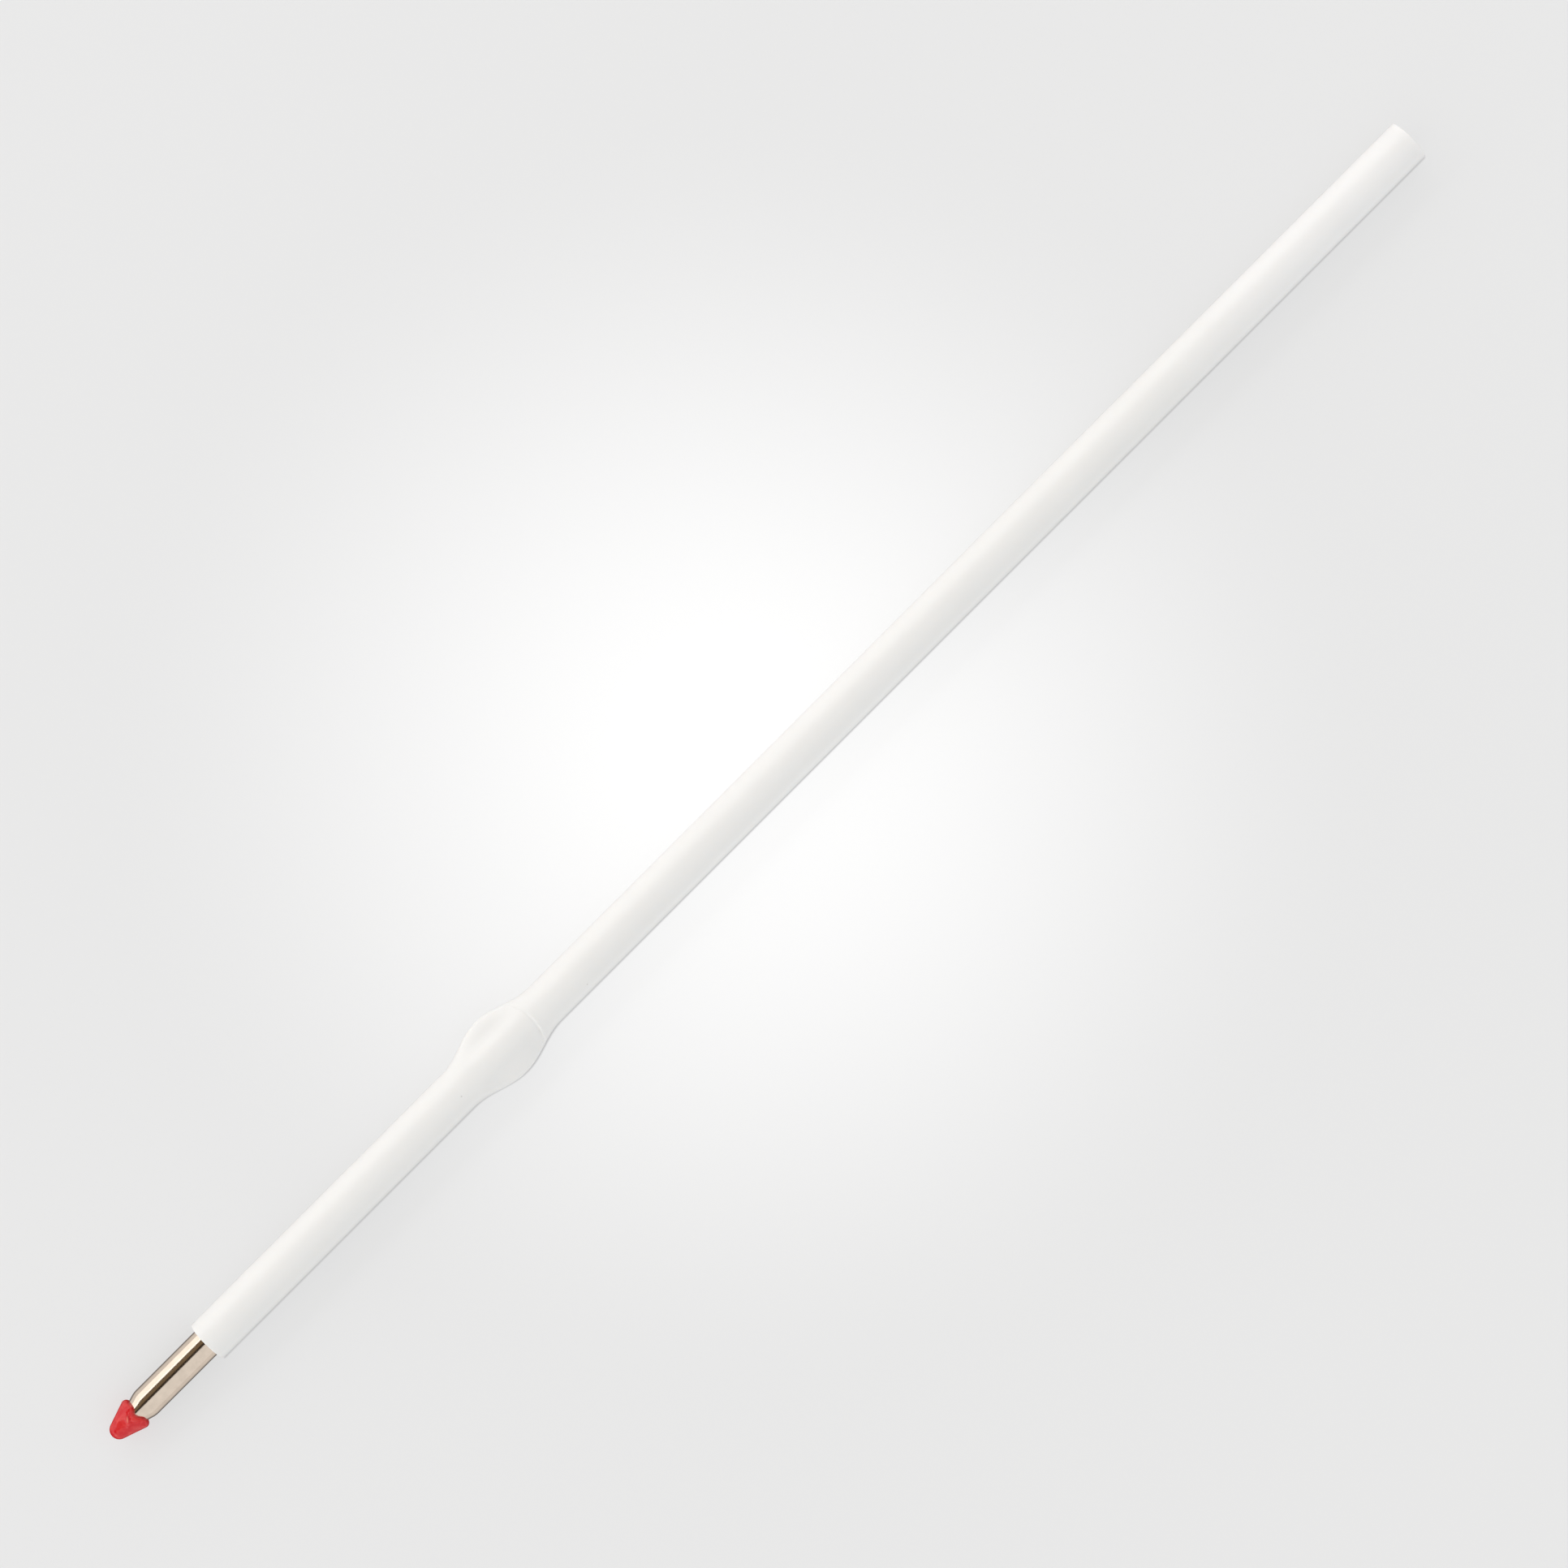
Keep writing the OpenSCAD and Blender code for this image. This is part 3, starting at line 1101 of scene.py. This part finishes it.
class REFILL_OT_cap(bpy.types.Operator):
    """Turn the wax cap, then push its rim and its side out of true, as dipped wax sets"""

    bl_idname = "refill.cap"
    bl_label = "Protective Cap"

    def execute(self, context):
        sizes = context.scene.refill_sizes
        nose, rim, slope = sizes.cap_nose, sizes.cap_rim, sizes.cap_angle
        angle = math.degrees(slope)
        nose_x = CAP_LOW.x + nose
        rim_x = CAP_HIGH.x - rim
        side_r = nose / math.cos(slope) + (rim_x - nose_x) * math.tan(slope)
        rim_c = side_r - rim / math.cos(slope)
        gap = 0.02 * MM
        ball_x, ball_gap_r = FRONT + BALL_R, BALL_R + gap
        inside_slope = sizes.cone_angle
        cone_x = FRONT + sizes.cone_length

        def inside_r(x):
            return POINT_R - (cone_x - x) * math.tan(inside_slope) + gap

        nose_arc = arc((nose_x, 0), nose, -88, -angle, 16)
        rim_arc = arc((rim_x, rim_c), rim, -angle, 120, 16)
        side = [
            (
                nose_arc[-1][0] + (rim_arc[0][0] - nose_arc[-1][0]) * i / 16,
                nose_arc[-1][1] + (rim_arc[0][1] - nose_arc[-1][1]) * i / 16,
            )
            for i in range(1, 16)
        ]
        inner_start = rim_arc[-1][0] - 0.06 * MM
        inner_end = ball_x - 0.1 * MM
        cavity = [
            (x, inside_r(x))
            for x in [inner_start + (inner_end - inner_start) * i / 12 for i in range(13)]
        ]
        cavity_nose = arc((ball_x, 0), ball_gap_r, -30, -75, 3)
        pole_x = ball_x - ball_gap_r
        outline = [*nose_arc, *side, *rim_arc, *cavity, *cavity_nose, (pole_x, POLE_R)]
        cap = turn("protective_cap_dipped", outline, CAP_SIDES)
        close_poles(cap, pole_x)
        select_points(cap, lambda co: co.x < nose_arc[0][0] + WELD)
        bpy.ops.mesh.merge(type="CENTER")
        bpy.ops.object.mode_set(mode="OBJECT")
        tidy_mesh(cap, 180)
        for along, turn_angle, push, reach in CAP_NUDGES:
            nudge(cap, along * MM, turn_angle, (push[0] * MM, push[1] * MM), reach * MM)
        smooth = cap.modifiers.new("round", "SUBSURF")
        smooth.levels = smooth.render_levels = 1
        bpy.ops.object.modifier_apply(modifier=smooth.name)
        tidy_mesh(cap, 180)
        material = dipped_sealing_wax(context.scene.refill_colours)
        place_in_frame(cap, material, "cap", "cap_wax", "protective_cap")
        return {"FINISHED"}


# Each is a place (mm from the front, degrees from the top towards +Y), a push (mm along, mm
# outwards) and a reach in mm.
CAP_NUDGES = [
    # The rim is drawn forwards and thinned on the top, and drawn forwards less below.
    (2.06, -8, (-0.24, -0.10), 0.72),
    (2.10, 170, (-0.14, 0.0), 0.80),
    # A fold of wax runs aslant over the top, with a groove behind it.
    (1.66, 20, (0.0, 0.05), 0.16),
    (1.54, 10, (0.0, 0.08), 0.17),
    (1.42, 0, (0.0, 0.08), 0.17),
    (1.30, -10, (0.0, 0.06), 0.17),
    (1.20, -20, (0.0, 0.03), 0.16),
    (1.80, 20, (0.0, -0.05), 0.13),
    (1.69, 10, (0.0, -0.09), 0.14),
    (1.58, 0, (0.0, -0.09), 0.14),
    (1.48, -9, (0.0, -0.05), 0.13),
    # A soft lump behind the groove, and lobes at both sides of the rim.
    (1.75, -16, (0.0, 0.04), 0.20),
    (1.90, 52, (0.01, 0.05), 0.32),
    (1.85, -64, (0.01, 0.04), 0.35),
    # The side isn't quite round.
    (0.85, 35, (0.0, 0.035), 0.30),
    (0.95, 5, (0.0, -0.03), 0.40),
    (1.20, -60, (0.0, -0.03), 0.50),
    (0.30, 20, (0.0, 0.02), 0.35),
]


# ---------------------------------------------------------------- the stage

STUDIO_DARK = (0.030, 0.022, 0.014, 1)
BACKDROP = (0.81, 0.81, 0.81, 1)
LENS = 120.0
SENSOR = 36.0
CAMERA_HEIGHT = 0.3056  # metres above the axis
CAMERA_ALONG = 1.14 * MM
CAMERA_ACROSS = -0.79 * MM

TABLE_R = 0.55  # radius of the light table in metres

# Each panel's name, distance in metres, lean from straight up towards +Y and turn towards +X in
# degrees, length along and width across the refill in metres, radiance, and whether gloss
# shows it. The fill takes the whole -Y side and the key the lower half of the +Y side. Gloss
# shows the dark studio between them, and the dim warm ceiling.
WHITE, COOL, WARM = (1.0, 1.0, 1.0), (0.955, 0.981, 1.0), (1.0, 0.76, 0.46)
PANELS = [
    ("key_softbox", 0.60, 48, 0, 3.0, 0.125, 1.9, WHITE, True),
    ("key_side", 0.70, 75, 0, 3.0, 0.52, 1.45, WHITE, True),
    ("fill_sheet", 0.566, -47, 0, 3.0, 1.10, 0.935, COOL, True),
    ("ceiling_glow", 0.80, 25, 0, 3.0, 0.32, 0.17, WARM, True),
    ("overhead_diffuser", 0.70, 23, 0, 3.0, 0.58, 0.66, WHITE, False),
    ("front_sheet", 1.3, 0, -78, 0.6, 1.2, 1.6, WHITE, True),
    ("back_sheet", 1.3, 0, 72, 0.8, 1.2, 0.5, WHITE, True),
]


def add_panel(name, distance, lean, turn_angle, length, width, radiance, colour, in_gloss):
    """Adds a soft panel of light that faces the refill and that the camera doesn't see."""
    lean, turn_angle = math.radians(lean), math.radians(turn_angle)
    place = Vector(
        (
            distance * math.sin(turn_angle),
            distance * math.sin(lean) * math.cos(turn_angle),
            distance * math.cos(lean) * math.cos(turn_angle),
        )
    )
    bpy.ops.object.light_add(type="AREA", location=place, rotation=(-lean, turn_angle, 0))
    panel = bpy.context.object
    panel.name = name
    panel.data.shape = "RECTANGLE"
    panel.data.size, panel.data.size_y = length, width
    panel.data.energy = radiance * math.pi * length * width
    panel.data.color = colour
    panel.visible_camera = False
    panel.visible_glossy = in_gloss
    return panel


def studio_world():
    """The studio beyond the panels: dark and a little warm, behind a pale backdrop."""
    world = bpy.data.worlds.new("studio")
    world.use_nodes = True
    tree = world.node_tree
    output = tree.nodes["World Output"]
    dark = tree.nodes["Background"]
    dark.inputs["Color"].default_value = STUDIO_DARK
    pale = add_node(tree, "ShaderNodeBackground", values={"Color": BACKDROP})
    seen = add_node(tree, "ShaderNodeLightPath")
    mixed = add_node(
        tree,
        "ShaderNodeMixShader",
        links={
            0: seen.outputs["Is Camera Ray"],
            1: dark.outputs["Background"],
            2: pale.outputs["Background"],
        },
    )
    tree.links.new(mixed.outputs["Shader"], output.inputs["Surface"])
    return world


class REFILL_OT_stage(bpy.types.Operator):
    """Lay a light table under the refill, and add the studio light and the camera"""

    bl_idname = "refill.stage"
    bl_label = "Stage"

    def execute(self, context):
        scene = context.scene
        deselect()
        bpy.ops.mesh.primitive_circle_add(
            vertices=128, radius=TABLE_R, fill_type="NGON", location=(0, 0, -0.02 * MM)
        )
        floor = context.object
        floor.name = "light_table"
        bpy.ops.object.transform_apply(location=True, rotation=True, scale=True)
        floor.data.materials.append(light_table(scene.refill_colours))
        scene.world = studio_world()
        for panel in PANELS:
            add_panel(*panel)
        scene.view_settings.view_transform = "Standard"
        bpy.ops.object.camera_add(
            location=(CAMERA_ALONG, CAMERA_ACROSS, AXIS_Z + CAMERA_HEIGHT),
            rotation=(0, 0, math.radians(-45)),
        )
        camera = context.object
        camera.name = "camera_above"
        camera.data.lens = LENS
        camera.data.sensor_width = SENSOR
        camera.data.clip_start = 0.001
        camera.data.dof.use_dof = False
        scene.camera = camera
        return {"FINISHED"}


# ---------------------------------------------------------------- the panel


class REFILL_PT_panel(bpy.types.Panel):
    """Lists the operators that build the refill, with its sizes and colours"""

    bl_idname = "REFILL_PT_panel"
    bl_label = "Pen Refill"
    bl_space_type = "VIEW_3D"
    bl_region_type = "UI"
    bl_category = "Refill"

    def draw(self, context):
        for operator in OPERATORS:
            self.layout.operator(operator.bl_idname)
        for settings in (context.scene.refill_sizes, context.scene.refill_colours):
            box = self.layout.box()
            for name in settings.__annotations__:
                box.prop(settings, name)


OPERATORS = (
    REFILL_OT_stage,
    REFILL_OT_tube,
    REFILL_OT_point,
    REFILL_OT_ball,
    REFILL_OT_ink,
    REFILL_OT_follower,
    REFILL_OT_cap,
)
CLASSES = (RefillSizes, RefillColours, *OPERATORS, REFILL_PT_panel)


def register():
    for cls in CLASSES:
        bpy.utils.register_class(cls)
    bpy.types.Scene.refill_sizes = bpy.props.PointerProperty(type=RefillSizes)
    bpy.types.Scene.refill_colours = bpy.props.PointerProperty(type=RefillColours)


def unregister():
    del bpy.types.Scene.refill_colours
    del bpy.types.Scene.refill_sizes
    for cls in reversed(CLASSES):
        bpy.utils.unregister_class(cls)


def main():
    register()
    bpy.ops.refill.stage()
    bpy.ops.refill.tube()
    bpy.ops.refill.point()
    bpy.ops.refill.ball()
    bpy.ops.refill.ink()
    bpy.ops.refill.follower()
    bpy.ops.refill.cap()


if __name__ == "__main__":
    main()
